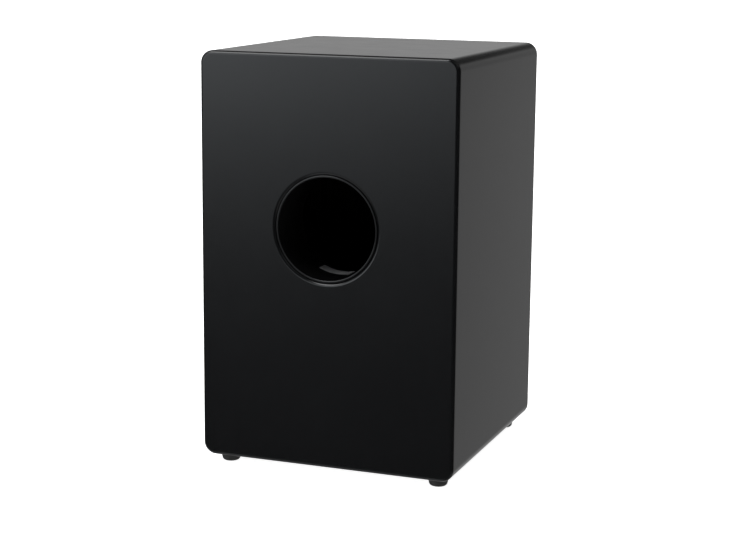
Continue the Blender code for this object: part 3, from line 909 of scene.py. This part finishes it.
def make_carriage(side):
    """The nylon carriage, its threaded insert and the clip that grips the wires' strip."""
    body = f"{side}_carriage_body"
    node = f"{side}_carriage"
    low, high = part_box(node)
    middle = (low + high) / 2
    bore = M5 + CLEARANCE
    place = Matrix.Translation(middle)
    outline = [
        (0, -LONG_CUT),
        (INSERT_HOLE_RADIUS, -LONG_CUT),
        (INSERT_HOLE_RADIUS, LONG_CUT),
        (0, LONG_CUT),
    ]
    cutters = [turned(outline, SCREW_STEPS, place)]
    reach = Vector((POCKET_HALF[0], POCKET_DEPTH, POCKET_HALF[1]))
    for sign in (-1, 1):
        mouth = Vector((middle.x + sign * POCKET_SHIFT, high.y, middle.z))
        cutters.append(block(mouth - reach, mouth + reach))
    shape = carve(softened_block(low, high, 0.0008), *cutters)
    nylon = keep(f"{side}_carriage_block", shape, "carriage_nylon", body, (node,))
    flat_faces_stay_flat(nylon)
    insert = [
        (bore, low.z - middle.z + INSERT_INSET),
        (INSERT_RADIUS, low.z - middle.z + INSERT_INSET),
        (INSERT_RADIUS, high.z - middle.z - INSERT_INSET),
        (bore, high.z - middle.z - INSERT_INSET),
    ]
    keep(f"{side}_threaded_insert", turned(insert, SCREW_STEPS, place), "zinc_steel", body)

    clip = f"{side}_lower_clip"
    low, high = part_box(clip)
    plate = softened_block(low, high, 0.0004, 1)
    keep(f"{side}_clip_plate", plate, "zinc_steel", body, (clip,))


def make_guide(side):
    """The steel channel that the carriage slides in, and its two screws."""
    node = f"{side}_guide"
    low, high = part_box(node)
    carriage_low, carriage_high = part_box(f"{side}_carriage")
    wall = GUIDE_WALL
    room_low = (low.x + wall, low.y - wall, low.z + wall)
    room_high = (high.x - wall, high.y - wall, high.z + wall)
    window_low = (carriage_low.x + GUIDE_WINDOW_INSET, low.y, carriage_low.z - 0.002)
    window_high = (carriage_high.x - GUIDE_WINDOW_INSET, high.y + wall, carriage_high.z - 0.004)
    middle = (low + high) / 2
    way = [(0, -0.01), (GUIDE_WAY_RADIUS, -0.01), (GUIDE_WAY_RADIUS, 0.01), (0, 0.01)]
    screw_low, screw_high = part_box(f"{side}_tension_screw")
    screw_y = (screw_low.y + screw_high.y) / 2
    shape = carve(
        block(low, high),
        block(room_low, room_high),
        block(window_low, window_high),
        turned(way, SCREW_STEPS, Matrix.Translation((middle.x, screw_y, low.z))),
    )
    round_edges(shape, [e for e in shape.edges if e.is_manifold and e.calc_face_angle() > 1.0], 0.0002, 1)
    keep(f"{side}_guide_channel", shape, "zinc_steel", replaces=(node,))
    shank, head, height, recess = GUIDE_SCREW
    for number, shift in enumerate((-GUIDE_SCREW_SHIFT, GUIDE_SCREW_SHIFT), 1):
        place = Matrix.Translation((middle.x + shift, screw_y, low.z + wall + height))
        profile = pan_profile(SHORT_SCREW_LENGTH, shank, head, height)
        keep(f"{side}_guide_screw_{number}", screw(profile, head, recess, place), "zinc_steel")


def thread(radius, bottom, top):
    """An outline of shallow rings of the thread's pitch, from the top down."""
    count = int((top - bottom) / M5_PITCH)
    depth = 0.45 * M5_PITCH
    points = []
    for i in range(count):
        z = top - i * M5_PITCH
        points += [(radius - depth, z), (radius, z - 0.5 * M5_PITCH)]
    return points + [(radius - depth, top - count * M5_PITCH)]


def make_tension_screw(side):
    """The M5 screw with its hex socket, turned from under the box."""
    node = f"{side}_tension_screw"
    low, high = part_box(node)
    middle = (low + high) / 2
    head = (high.x - low.x) / 2
    chamfer = M5_HEAD_CHAMFER
    narrower, tip_length = M5_TIP
    profile = [
        (0, high.z - low.z),
        (M5 - narrower, high.z - low.z),
        *thread(M5, M5_THREAD_START, high.z - low.z - tip_length),
        (M5, M5_NECK),
        (M5, M5_HEAD_HEIGHT),
        (head - chamfer, M5_HEAD_HEIGHT),
        (head, M5_HEAD_HEIGHT - chamfer),
        (head, chamfer),
        (head - chamfer, 0),
        (0, 0),
    ]
    place = Matrix.Translation((middle.x, middle.y, low.z))
    socket = bmesh.new()
    flat_to_corner = HEX_ACROSS_FLATS / 2 / math.cos(math.pi / 6)
    bmesh.ops.create_cone(
        socket,
        cap_ends=True,
        segments=6,
        radius1=flat_to_corner,
        radius2=flat_to_corner,
        depth=2 * HEX_DEPTH,
        matrix=place,
    )
    shape = carve(turned(profile, SCREW_STEPS, place), socket)
    keep(f"{side}_socket_screw", shape, "black_screw", f"{side}_screw_body", (node,))


def make_bush(side):
    """The flanged steel bush in the bottom board that the screw's head sits in."""
    node = f"{side}_bush"
    low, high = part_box(node)
    middle = (low + high) / 2
    flange = (high.x - low.x) / 2
    cup = BUSH_CUP_RADIUS
    sleeve = cup + BUSH_SLEEVE_WALL
    top = high.z - low.z
    floor = top - BUSH_FLOOR
    soft = BUSH_ROUND
    profile = [
        (cup, floor),
        (cup, soft),
        (cup + soft, 0),
        *arc((flange - soft, soft), soft, 270, 360, 3),
        (flange, BUSH_FLANGE_THICKNESS),
        (sleeve, BUSH_FLANGE_THICKNESS),
        (sleeve, top),
        (SCREW_WAY_RADIUS, top),
        (SCREW_WAY_RADIUS, floor),
    ]
    place = Matrix.Translation((middle.x, middle.y, low.z))
    keep(f"{side}_flanged_bush", turned(profile, SCREW_STEPS, place), "zinc_steel", replaces=(node,))


# Studio


def make_floor():
    """A plain pale floor, which glows a little so that it stays even."""
    shape = bmesh.new()
    bmesh.ops.create_grid(shape, x_segments=1, y_segments=1, size=30)
    mesh = bpy.data.meshes.new("floor")
    shape.to_mesh(mesh)
    shape.free()
    floor = bpy.data.objects.new("floor", mesh)
    bpy.context.scene.collection.objects.link(floor)
    made, wire, shader = material("pale_floor", (0.86, 0.86, 0.86), 0.9)
    tone = wire.noise(3.0, 2.0)
    wire.link(wire.tint(tone, (0.85, 0.85, 0.85), (0.87, 0.87, 0.87)), shader.inputs["Base Color"])
    shader.inputs["Specular IOR Level"].default_value = 0.0
    shader.inputs["Emission Color"].default_value = (1, 1, 1, 1)
    shader.inputs["Emission Strength"].default_value = FLOOR_GLOW
    # Clear from below, so that the underside can be seen
    clear = wire.add("ShaderNodeBsdfTransparent")
    one_sided = wire.add("ShaderNodeMixShader")
    wire.link(wire.add("ShaderNodeNewGeometry").outputs["Backfacing"], one_sided.inputs["Fac"])
    wire.link(shader.outputs["BSDF"], one_sided.inputs[1])
    wire.link(clear.outputs["BSDF"], one_sided.inputs[2])
    wire.link(one_sided.outputs["Shader"], made.node_tree.nodes["Material Output"].inputs["Surface"])
    mesh.materials.append(made)
    floor.visible_glossy = False


def brightness_by_height(wire, height, stops):
    """The studio's brightness at each height above the horizon, as (degrees, brightness) stops."""
    lowest, highest = stops[0][0], stops[-1][0]
    most = max(value for _, value in stops)
    ramp = wire.add("ShaderNodeValToRGB")
    ramp.color_ramp.interpolation = "LINEAR"
    elements = ramp.color_ramp.elements
    while len(elements) < len(stops):
        elements.new(0.5)
    for element, (degrees, value) in zip(elements, stops):
        element.position = (degrees - lowest) / (highest - lowest)
        element.color = (*[value / most] * 3, 1)
    wire.link(wire.spread(height, 0, 1, lowest, highest), ramp.inputs["Fac"])
    return wire.math("MULTIPLY", ramp.outputs["Color"], most)


def make_studio():
    """Soft light from all round, unlike on the port's side, on the plate's side and at the flanks."""
    world = bpy.data.worlds.new("studio")
    bpy.context.scene.world = world
    world.use_nodes = True
    wire = Wiring(world.node_tree)
    background = world.node_tree.nodes["Background"]
    direction = wire.add("ShaderNodeTexCoord").outputs["Generated"]
    parts = wire.add("ShaderNodeSeparateXYZ")
    wire.link(direction, parts.inputs["Vector"])
    height = wire.math("MULTIPLY", wire.math("ARCSINE", parts.outputs["Z"], 0), 180 / math.pi)
    level = wire.math("COSINE", wire.math("ARCSINE", parts.outputs["Z"], 0), 0)
    level = wire.math("MAXIMUM", level, 0.001)
    across = wire.math("DIVIDE", parts.outputs["X"], level)
    deep = wire.math("DIVIDE", parts.outputs["Y"], level)

    # On the port side it fades towards -X, and on the plate side towards +Y and the far corners
    port_side = brightness_by_height(wire, height, PORT_SIDE_LIGHT)
    port_side = wire.math("MULTIPLY", port_side, wire.spread(across, 0, 1.2, 0.07, 0.45))
    port_side = wire.math("MULTIPLY", port_side, wire.spread(deep, 0, 1, 0.4, 0.8))
    plate_side = brightness_by_height(wire, height, PLATE_SIDE_LIGHT)
    plate_side = wire.math("MULTIPLY", plate_side, wire.spread(across, 0.6, 1.15, -0.45, -0.2))
    plate_side = wire.math("MULTIPLY", plate_side, wire.spread(across, 1.0, 1.25, -0.1, 0.15))
    plate_side = wire.math("MULTIPLY", plate_side, wire.spread(deep, 1, 0, -0.9, -0.7))
    flanks = brightness_by_height(wire, height, FLANK_LIGHT)
    flanks = wire.math("MULTIPLY", flanks, wire.spread(wire.math("ABSOLUTE", across, 0), 0.2, 1, 0.5, 0.9))
    total = (0, 0, 0)
    for value, tint in ((port_side, (0.95, 1.0, 1.04)), (plate_side, (1, 1, 1)), (flanks, (1, 1, 1))):
        tinted = wire.vector_math("SCALE", tint, None)
        wire.link(value, tinted.node.inputs["Scale"])
        total = wire.vector_math("ADD", total, tinted)
    white = wire.add("ShaderNodeMix", data_type="VECTOR")
    wire.link(wire.add("ShaderNodeLightPath").outputs["Is Camera Ray"], white.inputs["Factor"])
    wire.link(total, white.inputs[4])
    white.inputs[5].default_value = (1, 1, 1)
    wire.link(white.outputs[1], background.inputs["Color"])


def softbox(name, place, aim, size, watts):
    """A rectangular soft light at a place, aimed at a point."""
    light = bpy.data.lights.new(name, "AREA")
    light.shape = "RECTANGLE"
    light.size, light.size_y = size
    light.energy = watts
    lamp = bpy.data.objects.new(name, light)
    bpy.context.scene.collection.objects.link(lamp)
    lamp.location = place
    lamp.rotation_mode = "QUATERNION"
    lamp.rotation_quaternion = (Vector(aim) - Vector(place)).to_track_quat("-Z", "Y")
    lamp.visible_camera = False


def make_daylight():
    """Soft light from straight above, which keeps the floor evenly pale."""
    light = bpy.data.lights.new("daylight", "SUN")
    light.energy = 2.0
    light.angle = math.radians(50)
    lamp = bpy.data.objects.new("daylight", light)
    bpy.context.scene.collection.objects.link(lamp)
    lamp.visible_glossy = False


def make_camera():
    """The view of the port side, from a little above the seat."""
    place, aim = Vector(CAMERA_PLACE), Vector(CAMERA_AIM)
    lens = bpy.data.cameras.new("camera")
    lens.lens = CAMERA_LENS
    lens.sensor_width = CAMERA_SENSOR
    camera = bpy.data.objects.new("camera", lens)
    bpy.context.scene.collection.objects.link(camera)
    camera.location = place
    camera.rotation_mode = "QUATERNION"
    facing = (aim - place).to_track_quat("-Z", "Y")
    camera.rotation_quaternion = facing @ Quaternion((0, 0, 1), math.radians(CAMERA_ROLL))
    bpy.context.scene.camera = camera


def main():
    make_camera()
    make_studio()
    make_floor()
    softbox("overhead", (1.2, 1.4, 2.8), (0, 0, 0.4), (1.6, 1.8), 30)
    make_daylight()
    make_shell()
    make_rear_panel()
    make_port_tube()
    make_port_painted_highlight()
    make_battens()
    make_front_plate()
    make_plate_screws()
    make_port_screws()
    make_feet()
    for side in ("left", "right"):
        make_snare_wires(side)
        make_upper_clip(side)
        make_carriage(side)
        make_guide(side)
        make_tension_screw(side)
        make_bush(side)
    bpy.context.scene.view_settings.view_transform = "Standard"


main()
